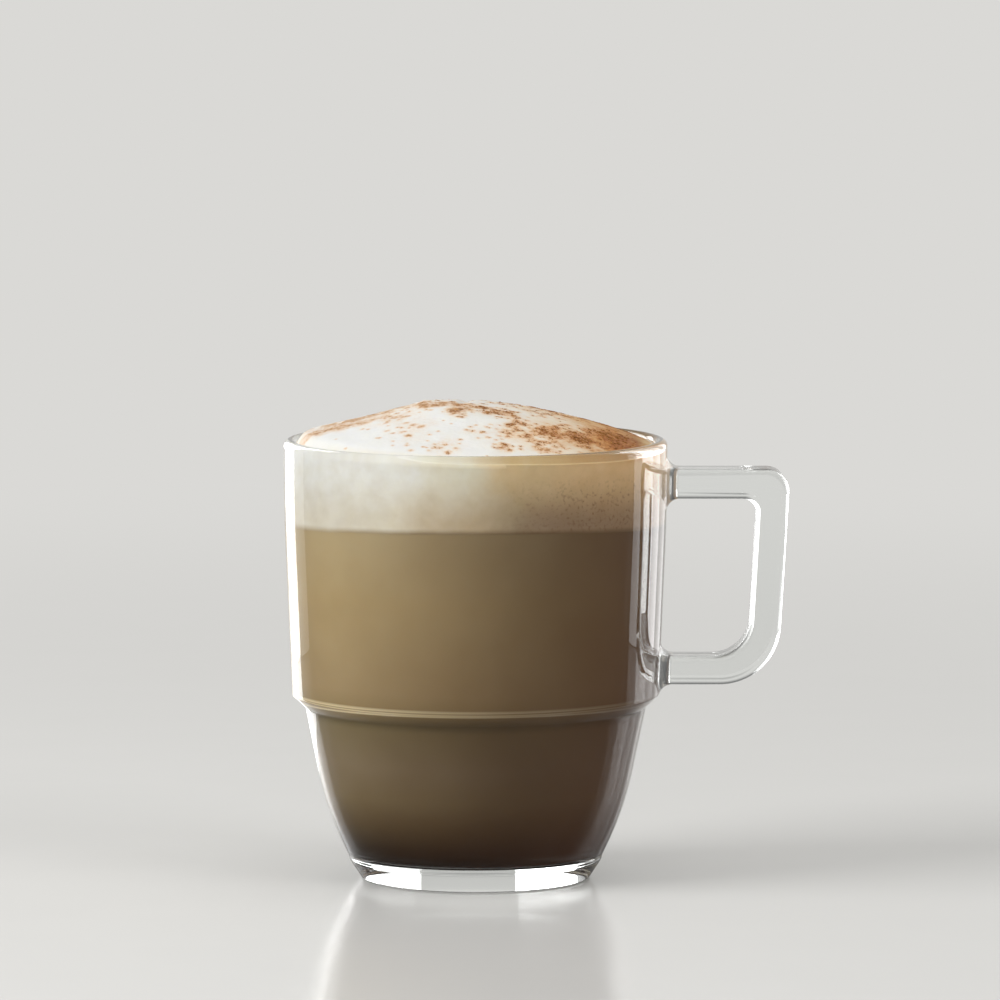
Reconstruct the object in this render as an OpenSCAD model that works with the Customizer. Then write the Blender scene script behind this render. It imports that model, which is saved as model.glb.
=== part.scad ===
// Cortado glass: a stacking mug of clear pressed glass with a fused square handle,
// filled with milk coffee, a thick layer of milk foam heaped above the rim, and cocoa.
// Millimetres. The table is at z = 0, the bowl's axis is Z, and the handle points to +X.

/* [Bowl] */
// Outside diameter at the rim
rim_d = 72; // [68:0.2:78]
// Height from the table to the crest of the rim
bowl_h = 82.8; // [78:0.2:92]
// Thickness of the upper wall, which is also the width of the rounded lip
wall_t = 2.6; // [2:0.1:3.2]
// Thickness of the wall where it turns in to the foot
foot_wall_t = 3.3; // [2.6:0.1:4.2]
// Outside diameter just above the stacking shoulder
shoulder_d = 69; // [66:0.2:71]
// Height of the stacking shoulder's outer corner
shoulder_z = 34.8; // [32:0.1:36]
// Width of the ledge by which the shoulder steps in
ledge_w = 2.4; // [1.5:0.1:3.2]
// Height of the sloped ledge
ledge_drop = 2.3; // [1.5:0.1:3.5]
// Outside diameter where the lower wall turns in towards the foot
bend_d = 55.8; // [52:0.2:59]
// Height of that turn
bend_z = 12.4; // [10:0.2:15]
// Outside diameter of the heel above the foot
heel_d = 47.8; // [44:0.2:50]
// Height of the heel
heel_z = 4.4; // [3.4:0.1:6]
// Outside diameter of the ring that the glass stands on
stand_d = 42.8; // [38:0.2:43.4]
// Width of that ring
stand_w = 2; // [1.4:0.1:3]
// Height of the inside floor above the table
floor_z = 5; // [3.6:0.1:7]
// Height of the hollow under the base
punt_h = 1.3; // [0.6:0.1:2]

/* [Bowl roundings] */
// Radius of the long bow of the upper wall
bow_r = 380; // [200:10:600]
// Radius on the shoulder's outer corner
shoulder_r = 0.6; // [0.4:0.1:2]
// Radius in the corner under the ledge
ledge_r = 0.6; // [0.4:0.1:2]
// Radius of the lower wall's turn
bend_r = 60; // [20:1:70]
// Radius on the heel
heel_r = 2; // [0.3:0.1:2.4]
// Radius on the outer edge of the standing ring
stand_r = 0.7; // [0.3:0.1:1]
// Radius between the inside wall and the floor
floor_r = 6; // [3:0.5:9]
// Radius of the inside wall where it follows the shoulder
inside_step_r = 3; // [1.5:0.1:4]

/* [Handle] */
// How far the handle stands out beyond the rim
handle_out = 23; // [19:0.5:27]
// Depth of the handle's top face below the rim's crest
handle_drop = 5.4; // [4.5:0.1:8]
// Height over both bars of the handle
handle_h = 40.6; // [37:0.2:41]
// Width of the handle across its flat faces
handle_w = 9; // [7:0.2:12]
// Thickness of the top bar
top_bar_t = 5.6; // [4.4:0.1:6.6]
// Thickness of the upright grip
grip_t = 5.9; // [4.6:0.1:7]
// Thickness of the bottom bar
low_bar_t = 5.4; // [4.4:0.1:6.4]
// How far the grip leans in from top to bottom
grip_lean = 2.4; // [0:0.1:4]
// Radius outside the handle's top corner
top_corner_r = 4.2; // [2.5:0.1:7]
// Radius inside the handle's top corner
top_inner_r = 2.6; // [1.5:0.1:5]
// Radius outside the handle's long bottom corner
low_corner_r = 11.5; // [7:0.1:13]
// Radius inside the handle's long bottom corner
low_inner_r = 7; // [4:0.1:9]
// Radius along the handle's four edges
handle_edge_r = 1.3; // [0.6:0.1:1.9]
// Length over which each root spreads to meet the wall
flare_l = 2.4; // [1.4:0.1:3.4]
// How far each root spreads
flare_w = 2.6; // [1.4:0.1:3]

/* [Drink] */
// Mean depth of the foam's edge below the rim's crest
foam_drop = 1.1; // [0.6:0.1:3]
// How far the foam's edge rises on the -X side and sinks on the +X side
foam_lean = 2.2; // [0:0.1:3]
// Depth of the foam layer along the wall
foam_band = 14.2; // [8:0.2:20]
// Height of the foam's peak above the mean of its edge
foam_peak = 8.4; // [5:0.2:12]
// Distance of the peak from the bowl's axis, towards -X
peak_shift = 9.6; // [0:0.1:12]
// Height of the soft lumps on the foam
foam_lump = 0.25; // [0:0.05:0.8]

/* [Cocoa] */
// Length of the largest cocoa grains
grain_l = 0.95; // [0.5:0.05:1.1]
// Thickness of a cocoa grain
grain_t = 0.3; // [0.15:0.05:0.5]

/* [Hidden] */
$fn = 96;

// Overrun of a root into the wall, which the seat then trims
overrun = 0.25;
// A clear gap between loose pieces
clearance = 0.05;
// Turn between two points of an arc, and the least steps of an arc, for the bowl
arc_turn = 9;
arc_steps = 5;
// Share of a straight that the roundings at its two ends may use up
straight_share = 0.98;

// Bowl: radii and heights worked out from the sizes above
rim_r = rim_d / 2;
shoulder_out = shoulder_d / 2;
ledge_in = shoulder_out - ledge_w;
ledge_z = shoulder_z - ledge_drop;
bend_out = bend_d / 2;
heel_out = heel_d / 2;
stand_out = stand_d / 2;
// Share of the wall's growth towards the foot that is reached at the shoulder
shoulder_wall_share = 0.3;
// Height share, between the shoulder and the rim, where the upper wall turns upright
bow_share = 0.75;
bow_z = shoulder_z + (bowl_h - shoulder_z) * bow_share;
// The heel's lower corner, as shares of the heel's height and of its step in to the ring
heel_low_z_share = 0.8;
heel_low_in_share = 0.08;
// The hollow under the base: shares of its radius at full height, and its rounding
punt_top_share = 0.6;
punt_bow_share = 3;
// Inside step: how far it lies under the outer shoulder, as a share of the ledge's height
inside_step_share = 0.3;

// Handle: places worked out from the sizes above
handle_x = rim_r + handle_out;
handle_top = bowl_h - handle_drop;
handle_low = handle_top - handle_h;
edge_steps = 5;
flare_steps = 6;
flare_end = 75;
corner_steps = 8;
long_corner_steps = 12;

// Drink
foam_edge_z = bowl_h - foam_drop;
coffee_z = foam_edge_z - foam_band;
// The heap falls as a power of the way from its peak to its edge: the mean of that power,
// and how much higher it is towards +X, where the heap is rounder
heap_power = 1.45;
heap_power_swing = 0.6;
// How far its edge rounds down at -X, where it stands over the rim, and how tightly
heap_edge_drop = 1.3;
heap_edge_power = 24;
// Ring and sector counts of its surface
heap_rings = 15;
heap_sectors = 60;
// The heap's side lies this far inside the glass, its lowest edge stands this far above the
// flat foam under it, and it is rooted this deep in that foam
heap_inset = 0.2;
heap_step = 0.3;
heap_root = 1;
flat_foam_z = foam_edge_z - foam_lean - heap_step;

// Cocoa: candidate places on a sunflower spiral, thinned by chance
grain_places = 430;
golden_angle = 137.508;
grain_seed = 21;
grain_w_share = 0.62;
// Shares of the heap's radius: how far out grains may lie, where the thick dusting starts
// towards +X, and the half length and half width of the thinner patch round the peak
grain_reach_share = 0.9;
thick_from_share = 0.125;
patch_x_share = 0.25;
patch_y_share = 0.35;
// Shares of the places that hold a grain: in the thick dusting, in the patch and elsewhere
thick_share = 0.75;
patch_share = 0.4;
thin_share = 0.2;

function unit(v) = v / norm(v);
function flat(list) = [for (part = list) each part];
function xy(p) = [p.x, p.y];

// The angle left open at a corner of a path, whose corners are [x, y, radius]
function open_angle(path, i) =
    let (tip = xy(path[i]))
    acos(max(-1, min(1, unit(xy(path[i - 1]) - tip) * unit(xy(path[i + 1]) - tip))));

// How far from its corner a rounding would begin, if it had the room
function wanted_reach(path, i) =
    i == 0 || i == len(path) - 1 ? 0 : path[i].z / tan(open_angle(path, i) / 2);

// How far it begins, when the roundings at a straight's two ends share it between them
function room(path, i, j) =
    straight_share * norm(xy(path[i]) - xy(path[j]))
    * wanted_reach(path, i) / (wanted_reach(path, i) + wanted_reach(path, j));
function reach(path, i) = min(wanted_reach(path, i), room(path, i, i - 1), room(path, i, i + 1));

// The arc that rounds one corner of a path, in the stated steps
function corner_arc(path, i, steps) =
    let (
        tip = xy(path[i]),
        back = unit(xy(path[i - 1]) - tip),
        on = unit(xy(path[i + 1]) - tip),
        half = open_angle(path, i) / 2,
        centre = tip + unit(back + on) * reach(path, i) * tan(half) / sin(half),
        a = tip + back * reach(path, i) - centre,
        b = tip + on * reach(path, i) - centre,
        sweep = 180 - 2 * half
    )
    [for (k = [0 : steps]) centre + (a * sin(sweep * (1 - k / steps)) + b * sin(sweep * k / steps)) / sin(sweep)];

// Steps for a rounded corner, by how far it turns
function steps_at(path, i) = max(arc_steps, ceil((180 - open_angle(path, i)) / arc_turn));

// An open path with every inner corner rounded
function rounded(path) =
    let (last = len(path) - 1)
    concat(
        [xy(path[0])],
        flat([for (i = [1 : last - 1]) corner_arc(path, i, steps_at(path, i))]),
        [xy(path[last])]
    );

// Corners of the bowl's section, as [radius, height, rounding], from the axis under the base
punt_out = stand_out - stand_w;
base_corners = [
    [0, punt_h, 0],
    [punt_out * punt_top_share, punt_h, punt_out * punt_bow_share],
    [punt_out, 0, stand_r / 2],
];
heel_low_out = heel_out - (heel_out - stand_out) * heel_low_in_share;
side_corners = [
    [stand_out, 0, stand_r],
    [heel_low_out, heel_z * heel_low_z_share, heel_r],
    [heel_out, heel_z, heel_r],
    [bend_out, bend_z, bend_r],
    [ledge_in, ledge_z, ledge_r],
    [shoulder_out, shoulder_z, shoulder_r],
    [rim_r, bow_z, bow_r],
    [rim_r, bowl_h, wall_t / 2],
];
shoulder_wall_t = wall_t + (foot_wall_t - wall_t) * shoulder_wall_share;
inside_low = ledge_drop * inside_step_share;
floor_out = heel_out - foot_wall_t + (bend_out - heel_out) * (floor_z - heel_z) / (bend_z - heel_z);
inside_corners = [
    [rim_r - wall_t, bowl_h, wall_t / 2],
    [rim_r - wall_t, bow_z, bow_r],
    [shoulder_out - shoulder_wall_t, shoulder_z - inside_low, inside_step_r],
    [ledge_in - shoulder_wall_t, ledge_z - inside_low, inside_step_r],
    [bend_out - foot_wall_t, bend_z, bend_r],
    [floor_out, floor_z, floor_r],
    [0, floor_z, 0],
];
bowl_outline = rounded(concat(base_corners, side_corners, inside_corners));
// The outside alone, for whatever seats on it, and the inside alone, for whatever fills it
axis_top = [0, bowl_h, 0];
outside_outline = rounded(concat([[0, 0, 0]], side_corners, [axis_top]));
hollow_outline = rounded(concat([axis_top], inside_corners));

// Radius of the bowl's outside at a height, read from its own outline
function wall_r(z) = lookup(z, [for (p = outside_outline) if (p.x > heel_low_out) [p.y, p.x]]);
// Distance in X from the axis to the bowl's outside at a place across and up
function wall_x(y, z) = sqrt(pow(wall_r(z), 2) - y * y);

// Unit section of the handle: corner signs with the direction around each corner
section = [for (q = [0 : 3], i = [0 : edge_steps - 1])
    let (turn = 90 * (q + i / (edge_steps - 1)))
    [q == 0 || q == 3 ? 1 : -1, q < 2 ? 1 : -1, cos(turn), sin(turn)]];

// One ring of the handle between its outer and inner edge points [x, z]
function ring(outer, inner) =
    let (
        middle = (outer + inner) / 2,
        half_t = norm(outer - inner) / 2,
        out = unit(outer - inner)
    )
    [for (s = section)
        let (
            along = s[0] * (half_t - handle_edge_r) + s[2] * handle_edge_r,
            across = s[1] * (handle_w / 2 - handle_edge_r) + s[3] * handle_edge_r
        )
        [middle.x + along * out.x, across, middle.y + along * out.y]];

// One ring of a root: the bar's section spread by "grow", at a distance from the wall's face
function root_ring(z_outer, z_inner, gap, grow) =
    let (
        middle = (z_outer + z_inner) / 2,
        half_t = abs(z_outer - z_inner) / 2,
        up = sign(z_outer - z_inner)
    )
    [for (s = section)
        let (
            z = middle + up * (s[0] * (half_t - handle_edge_r) + s[2] * (handle_edge_r + grow)),
            y = s[1] * (handle_w / 2 - handle_edge_r) + s[3] * (handle_edge_r + grow)
        )
        [wall_x(y, z) + gap, y, z]];

// The rings of a root, from inside the wall to where the bar runs straight
function root(z_outer, z_inner) =
    let (
        last_gap = flare_l * (1 - sin(flare_end)),
        last_grow = flare_w * (1 - cos(flare_end)),
        slope = flare_w / flare_l * tan(flare_end)
    )
    concat(
        [root_ring(z_outer, z_inner, -overrun, last_grow + (last_gap + overrun) * slope)],
        [for (i = [flare_steps : -1 : 0])
            let (turn = flare_end * i / flare_steps)
            root_ring(z_outer, z_inner, flare_l * (1 - sin(turn)), flare_w * (1 - cos(turn)))]
    );

function reversed(list) = [for (i = [len(list) - 1 : -1 : 0]) list[i]];

// The handle's outer and inner outlines, as corners [x, z, rounding]
top_in_z = handle_top - top_bar_t;
low_in_z = handle_low + low_bar_t;
lean_in = grip_lean * (low_in_z - handle_low) / handle_h;
outer_corners = [
    [shoulder_out, handle_top, 0],
    [handle_x, handle_top, top_corner_r],
    [handle_x - grip_lean, handle_low, low_corner_r],
    [shoulder_out, handle_low, 0],
];
inner_corners = [
    [shoulder_out, top_in_z, 0],
    [handle_x - grip_t - lean_in, top_in_z, top_inner_r],
    [handle_x - grip_t - grip_lean + lean_in, low_in_z, low_inner_r],
    [shoulder_out, low_in_z, 0],
];
function bend_rings(corner, steps) =
    let (
        outer = corner_arc(outer_corners, corner, steps),
        inner = corner_arc(inner_corners, corner, steps)
    )
    [for (i = [0 : steps]) ring(outer[i], inner[i])];
handle_rings = concat(
    root(handle_top, top_in_z),
    bend_rings(1, corner_steps),
    bend_rings(2, long_corner_steps),
    reversed(root(handle_low, low_in_z))
);

// A closed solid through a list of rings, all with the same number of points
module loft(rings) {
    count = len(rings[0]);
    last = (len(rings) - 1) * count;
    polyhedron(
        points = flat(rings),
        faces = concat(
            [for (i = [0 : len(rings) - 2], j = [0 : count - 1])
                let (k = (j + 1) % count, a = i * count, b = a + count)
                each [[a + j, b + j, b + k], [a + j, b + k, a + k]]],
            [for (j = [1 : count - 2]) [0, j, j + 1]],
            [for (j = [1 : count - 2]) [last, last + j + 1, last + j]]
        )
    );
}

// Height of the foam's heap at a share of the way from its peak to its edge, in a direction.
// Its lumps are waves of 3 and 5 to the turn, highest halfway out.
function heap_z(share, turn) =
    let (edge_z = foam_edge_z - foam_lean * cos(turn))
    edge_z
    + (foam_edge_z + foam_peak - edge_z) * (1 - pow(share, heap_power + heap_power_swing * cos(turn)))
    - heap_edge_drop * (1 - cos(turn)) / 2 * pow(share, heap_edge_power)
    + foam_lump * sin(180 * share) * (sin(3 * turn + 40) + sin(5 * turn + 200) / 2);
heap_r = rim_r - wall_t - heap_inset;
function heap_point(share, turn) = [
    heap_r * share * cos(turn) - peak_shift * (1 - share),
    heap_r * share * sin(turn),
    heap_z(share, turn),
];

// The heap's rings crowd towards its edge, where it turns down
module heap() {
    rings = [for (i = [heap_rings : -1 : 1], j = [0 : heap_sectors - 1])
        heap_point(sin(90 * i / heap_rings), 360 * j / heap_sectors)];
    foot = [for (j = [0 : heap_sectors - 1])
        let (p = heap_point(1, 360 * j / heap_sectors)) [p.x, p.y, flat_foam_z - heap_root]];
    peak = len(foot) + len(rings);
    polyhedron(
        points = concat(foot, rings, [heap_point(0, 0)]),
        faces = concat(
            [for (i = [0 : heap_rings - 1], j = [0 : heap_sectors - 1])
                let (k = (j + 1) % heap_sectors, a = i * heap_sectors, b = a + heap_sectors)
                each [[a + j, b + j, b + k], [a + j, b + k, a + k]]],
            [for (j = [1 : heap_sectors - 2]) [0, j, j + 1]],
            [for (j = [0 : heap_sectors - 1])
                let (k = (j + 1) % heap_sectors, a = heap_rings * heap_sectors)
                [a + j, peak, a + k]]
        )
    );
}

// Chance that a place on the heap holds a grain
function grain_chance(p) =
    p.x > heap_r * thick_from_share ? thick_share
    : p.x > -heap_r * patch_x_share && abs(p.y) < heap_r * patch_y_share ? patch_share
    : thin_share;

// One flat grain: an octahedron that lies on the heap at the stated share and direction
function grain(share, turn, size, spin) =
    let (
        step = 1 / heap_rings,
        out = heap_point(share + step, turn) - heap_point(share - step, turn),
        round = heap_point(share, turn + 360 * step) - heap_point(share, turn - 360 * step),
        up = unit(cross(out, round)),
        east = unit(cross(round, up)),
        north = cross(up, east),
        long = (east * cos(spin) + north * sin(spin)) * size / 2,
        wide = (north * cos(spin) - east * sin(spin)) * size / 2 * grain_w_share,
        thick = up * grain_t / 2,
        middle = heap_point(share, turn) + thick + up * clearance
    )
    [middle - thick, middle + long, middle + wide, middle - long, middle - wide, middle + thick];
grain_faces = [for (j = [1 : 4]) let (k = j % 4 + 1) each [[0, j, k], [5, k, j]]];

module glass_bowl() {
    color("LightCyan", 0.35)
    rotate_extrude()
    polygon(bowl_outline);
}

module glass_handle() {
    color("LightCyan", 0.45)
    difference() {
        loft(handle_rings);
        rotate_extrude()
        polygon(outside_outline);
    }
}

// The bowl's hollow between two heights
module fill(low, high) {
    rotate_extrude()
    intersection() {
        polygon(hollow_outline);
        translate([0, low])
        square([rim_r, high - low]);
    }
}

module latte() {
    color("#B09A78")
    fill(0, coffee_z);
}

module milk_foam() {
    color("#F3EDE2")
    union() {
        fill(coffee_z, flat_foam_z);
        heap();
    }
}

module cocoa_powder() {
    chance = rands(0, 1, grain_places * 3, grain_seed);
    grains = [for (i = [0 : grain_places - 1])
        let (
            share = grain_reach_share * sqrt((i + 1) / grain_places),
            turn = golden_angle * i,
            place = heap_point(share, turn)
        )
        if (share > 2 / heap_rings && chance[3 * i] < grain_chance(place))
            grain(share, turn, grain_l * (1 + chance[3 * i + 1]) / 2, 360 * chance[3 * i + 2])];
    color("#7A3F1C")
    polyhedron(
        points = flat(grains),
        faces = [for (i = [0 : len(grains) - 1], f = grain_faces) [for (v = f) v + 6 * i]]
    );
}

glass_bowl();
glass_handle();
latte();
milk_foam();
cocoa_powder();
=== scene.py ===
# %% [markdown]
# A stacking glass mug of milk coffee, as a small cafe serves a cortado.
# The mug is clear pressed glass: a round bowl with a stacking shoulder, and a square handle
# that is fused to it. It holds milk coffee, a layer of steamed milk foam heaped above the
# rim, and cocoa shaken over the heap.
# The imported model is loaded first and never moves. Every mesh below is made in its frame:
# metres, the table at z = 0, the bowl's axis on Z and the handle towards +X.

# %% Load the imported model
import itertools
import math

import bpy
import numpy as np
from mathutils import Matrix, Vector, geometry, noise


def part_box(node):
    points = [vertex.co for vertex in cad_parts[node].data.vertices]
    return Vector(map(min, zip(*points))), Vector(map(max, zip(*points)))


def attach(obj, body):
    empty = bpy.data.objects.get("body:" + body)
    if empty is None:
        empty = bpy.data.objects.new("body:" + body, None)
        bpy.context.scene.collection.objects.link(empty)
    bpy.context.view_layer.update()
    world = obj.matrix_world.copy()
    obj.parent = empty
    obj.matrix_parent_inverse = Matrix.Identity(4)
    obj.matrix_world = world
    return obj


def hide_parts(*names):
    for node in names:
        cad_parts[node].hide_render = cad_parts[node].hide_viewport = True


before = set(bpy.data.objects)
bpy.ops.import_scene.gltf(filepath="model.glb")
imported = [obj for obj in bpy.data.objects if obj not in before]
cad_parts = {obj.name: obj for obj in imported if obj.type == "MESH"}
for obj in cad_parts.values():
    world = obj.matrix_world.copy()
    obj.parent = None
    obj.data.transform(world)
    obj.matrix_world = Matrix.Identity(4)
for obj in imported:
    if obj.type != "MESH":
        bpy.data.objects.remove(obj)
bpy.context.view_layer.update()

MM = 0.001

# %% [markdown]
# Four small helpers serve every piece. Colours are picked as sRGB hex values, as a paint
# chart or a picture shows them, and one function turns them into the linear values that a
# renderer adds and multiplies. A node is added with its settings and links in one call, and a
# pattern's scale is worked out from a real size, because Object coordinates are in metres.


# %% Helpers for colours and nodes
def linear(hex_colour):
    """An sRGB hex colour as linear red, green, blue and alpha."""
    parts = [int(hex_colour[i:i + 2], 16) / 255 for i in (1, 3, 5)]
    return (*[c / 12.92 if c <= 0.04045 else ((c + 0.055) / 1.055) ** 2.4 for c in parts], 1)


def add_node(owner, kind, inputs=None, tones=(), **settings):
    """Add a node to a material or world. An input is named by its name, its identifier or its
    place in the list. It takes a value, a hex colour, or the node or output that feeds it.
    Tones are a colour ramp's steps from 0 to 1, [position, hex colour]."""
    node = owner.node_tree.nodes.new("ShaderNode" + kind)
    for name, value in settings.items():
        setattr(node, name, value)
    for name, value in (inputs or {}).items():
        socket = next(s for i, s in enumerate(node.inputs) if name in (i, s.identifier, s.name))
        if isinstance(value, bpy.types.Node):
            value = next(output for output in value.outputs if output.enabled)
        if isinstance(value, bpy.types.NodeSocket):
            owner.node_tree.links.new(value, socket)
        else:
            socket.default_value = linear(value) if isinstance(value, str) else value
    if tones:
        steps = node.color_ramp.elements
        steps[0].color, steps[-1].color = linear(tones[0][1]), linear(tones[-1][1])
        for position, tone in tones[1:-1]:
            steps.new(position).color = linear(tone)
    return node


def per_metre(size_mm):
    """A pattern's scale, from the real size of one of its repeats."""
    return 1 / (size_mm * MM)


def new_material(name):
    """An empty material."""
    material = bpy.data.materials.new(name)
    material.use_nodes = True
    material.node_tree.nodes.clear()
    return material


print("milk white in linear light:", [round(c, 3) for c in linear("#F4F0E8")])

# %% [markdown]
# The camera stands where the photographer's did. Matching the rim's and the foot's ellipses
# gives a long lens, 1.5 m away, looking down by 5.8 degrees. A long lens keeps the mug's sides
# nearly parallel. The mug sits low in the square frame because the lens looks over it, so no
# shift is needed.

# %% Camera
lens_mm, sensor_mm = 288, 36
camera_pitch = math.radians(5.8)
camera_distance, camera_height, camera_aside = 1.493, 0.2229, 0.0046
camera_data = bpy.data.cameras.new("camera")
camera_data.lens, camera_data.sensor_width = lens_mm, sensor_mm
camera_data.clip_start, camera_data.clip_end = 0.05, 60
camera = bpy.data.objects.new("camera", camera_data)
camera.location = (camera_aside, -camera_distance, camera_height)
camera.rotation_euler = (math.pi / 2 - camera_pitch, 0, 0)
scene = bpy.context.scene
scene.collection.objects.link(camera)
scene.camera = camera
scene.view_settings.view_transform = "Standard"
print("camera's field of view, degrees:", round(math.degrees(camera_data.angle), 2))

# %% [markdown]
# Glass shows what is around it, so the room matters as much as the mug. The floor is a pale
# painted board with a slight sheen. Far from the mug it fades into an even tone, as a curved
# studio paper does, and the world beyond has the same tone. Matt surfaces see a darker room
# than the camera does, so that the soft key from the left can model the round bowl. Glass sees
# the pale studio behind it, and darker surroundings at both sides and behind the camera: that
# gives its edges a line, and keeps a grey veil off the front of the dark drink. The board is
# there twice, a fifth of a millimetre apart: once for the camera alone and once for everything
# else, so that a lamp can pass by the one and still be mirrored in the other.

# %% Floor
floor_size, floor_drop, board_gap = 16.0, 0.04 * MM, 0.2 * MM
half_floor = floor_size / 2
floor_mesh = bpy.data.meshes.new("floor")
floor_mesh.from_pydata([(x * half_floor, y * half_floor, -floor_drop)
                        for x, y in ((-1, -1), (1, -1), (1, 1), (-1, 1))], [], [(0, 1, 2, 3)])
floor = bpy.data.objects.new("floor", floor_mesh)
floor_in_glass = bpy.data.objects.new("floor_in_glass", floor_mesh)
floor_in_glass.location.z = -board_gap
for board in (floor, floor_in_glass):
    scene.collection.objects.link(board)
    board.visible_camera, board.visible_shadow = board is floor, False
    board.visible_diffuse = board.visible_glossy = board.visible_transmission = board is not floor
print("floor is", floor_size, "m square")

# %% What the eye, a reflection and a matt surface see
# Towards both sides the mirrored room darkens from side_start to side_end, where straight
# ahead is 0 and straight aside is 1. Behind the camera it darkens from 0 to behind_end.
side_start, side_end, behind_end = 0.5, 0.85, -0.6


def mirrored_tone(owner, vector, tone, dark):
    """A tone as the camera sees it. Reflections and refractions see it darker at both sides
    and behind the camera."""
    level = add_node(owner, "VectorMath", {0: vector, 1: (1, 1, 0)}, operation="MULTIPLY")
    flat = add_node(owner, "VectorMath", {0: level}, operation="NORMALIZE")
    parts = add_node(owner, "SeparateXYZ", {"Vector": flat})
    aside = add_node(owner, "Math", {0: parts.outputs["X"]}, operation="ABSOLUTE")
    beside = add_node(owner, "MapRange", {
        "Value": aside, "From Min": side_start, "From Max": side_end},
        interpolation_type="SMOOTHSTEP")
    behind = add_node(owner, "MapRange", {
        "Value": parts.outputs["Y"], "From Min": 0.0, "From Max": behind_end},
        interpolation_type="SMOOTHSTEP")
    either = add_node(owner, "Math", {0: beside, 1: behind}, operation="MAXIMUM")
    ray = add_node(owner, "LightPath")
    mirrored = add_node(owner, "Math", {0: 1.0, 1: ray.outputs["Is Camera Ray"]},
                        operation="SUBTRACT")
    part = add_node(owner, "Math", {0: either, 1: mirrored}, operation="MULTIPLY")
    return add_node(owner, "Mix", {"Factor_Float": part, "A_Color": tone, "B_Color": dark},
                    data_type="RGBA")


def seen_directly(owner):
    """1 for rays from the camera, a reflection or a refraction, and 0 for other rays."""
    ray = add_node(owner, "LightPath")
    some = add_node(owner, "Math", {
        0: ray.outputs["Is Camera Ray"], 1: ray.outputs["Is Glossy Ray"]}, operation="ADD")
    return add_node(owner, "Math", {0: some, 1: ray.outputs["Is Transmission Ray"]},
                    operation="ADD", use_clamp=True)


studio_tone, mirrored_dark, room_dark = "#DAD9D6", "#858584", "#9A9A99"
print("studio tone in linear light:", round(linear(studio_tone)[0], 3))

# %% The board's paint
# Satin paint, rolled on: matt enough to stay even, and smooth enough to mirror the mug's foot
# softly. The roller leaves faint patches.
matt_paint, roller_patch_mm = "#8E8D8B", 25
even_from, even_to = 0.12, 0.75
painted_board = new_material("satin_painted_board")
place = add_node(painted_board, "TexCoord").outputs["Object"]
seen = seen_directly(painted_board)
mottle = add_node(painted_board, "TexNoise", {
    "Vector": place, "Scale": per_metre(roller_patch_mm), "Detail": 3})
paint = add_node(painted_board, "Mix", {
    "Factor_Float": mottle, "A_Color": "#E8E7E4", "B_Color": "#EBEAE7"}, data_type="RGBA")
board_colour = add_node(painted_board, "Mix", {
    "Factor_Float": seen, "A_Color": matt_paint,
    "B_Color": mirrored_tone(painted_board, place, paint, matt_paint)}, data_type="RGBA")
lit = add_node(painted_board, "BsdfPrincipled", {
    "Base Color": board_colour, "Roughness": 0.16, "IOR": 1.45, "Specular IOR Level": 0.3})
far_off = add_node(painted_board, "VectorMath", {0: place}, operation="LENGTH")
fade = add_node(painted_board, "MapRange", {
    "Value": far_off, "From Min": even_from, "From Max": even_to},
    interpolation_type="SMOOTHSTEP")
fade_seen = add_node(painted_board, "Math", {0: fade, 1: seen}, operation="MULTIPLY")
even = add_node(painted_board, "Emission", {
    "Color": mirrored_tone(painted_board, place, studio_tone, mirrored_dark), "Strength": 1.0})
board_mix = add_node(painted_board, "MixShader", {"Fac": fade_seen, 1: lit, 2: even})
add_node(painted_board, "OutputMaterial", {"Surface": board_mix})
floor_mesh.materials.append(painted_board)
print("board paint:", painted_board.name)

# %% World
world = bpy.data.worlds.new("studio_room")
world.use_nodes = True
world.node_tree.nodes.clear()
scene.world = world
direction = add_node(world, "TexCoord").outputs["Generated"]
upward = add_node(world, "SeparateXYZ", {"Vector": direction}).outputs["Z"]
room_tone = add_node(world, "ValToRGB", {"Fac": upward}, tones=[
    [0.0, studio_tone], [0.10, studio_tone], [0.40, "#7E7E7D"], [1.0, room_dark]])
room_light = add_node(world, "Mix", {
    "Factor_Float": seen_directly(world), "A_Color": room_dark,
    "B_Color": mirrored_tone(world, direction, room_tone, mirrored_dark)}, data_type="RGBA")
sky = add_node(world, "Background", {"Color": room_light, "Strength": 1.0})
add_node(world, "OutputWorld", {"Surface": sky})
print("world:", world.name)

# %% [markdown]
# A big soft key stands on the left, a little in front of the mug, so the bowl is bright on the
# left and falls off towards the handle. A lamp overhead lights the foam and the floor, and a
# fill keeps the handle's side from going black. These three light matt things only, so they
# leave no glare on the board. Tall white cards stand in an arc behind the mug, left and right,
# just outside the picture. Only reflections and refractions see them: they draw the bright
# upright streaks that pressed glass shows. One big card would draw one even band, so there are
# eight, and each has its own brightness. One more lies flat on the left, and carries the left
# streak down to the shoulder. All are linked past the board that the camera sees, which would
# mirror them as white sheets in the views from the sides.


# %% Lamps
def soft_lamp(name, place, width, height, radiance, lights_matt=True):
    """A soft rectangular lamp that faces the mug. Its radiance is 1 for paper white. One that
    doesn't light matt things is a card, and stands upright."""
    data = bpy.data.lights.new(name, "AREA")
    data.shape, data.size, data.size_y = "RECTANGLE", width, height
    data.energy = radiance * math.pi * width * height
    lamp = bpy.data.objects.new(name, data)
    lamp.location = place
    faced = Vector(mug_middle) if lights_matt else Vector((0, 0, place[2]))
    lamp.rotation_euler = (faced - Vector(place)).to_track_quat("-Z", "Y").to_euler()
    lamp.visible_camera = False
    lamp.visible_diffuse = lights_matt
    lamp.visible_glossy = not lights_matt
    scene.collection.objects.link(lamp)
    return lamp


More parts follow.
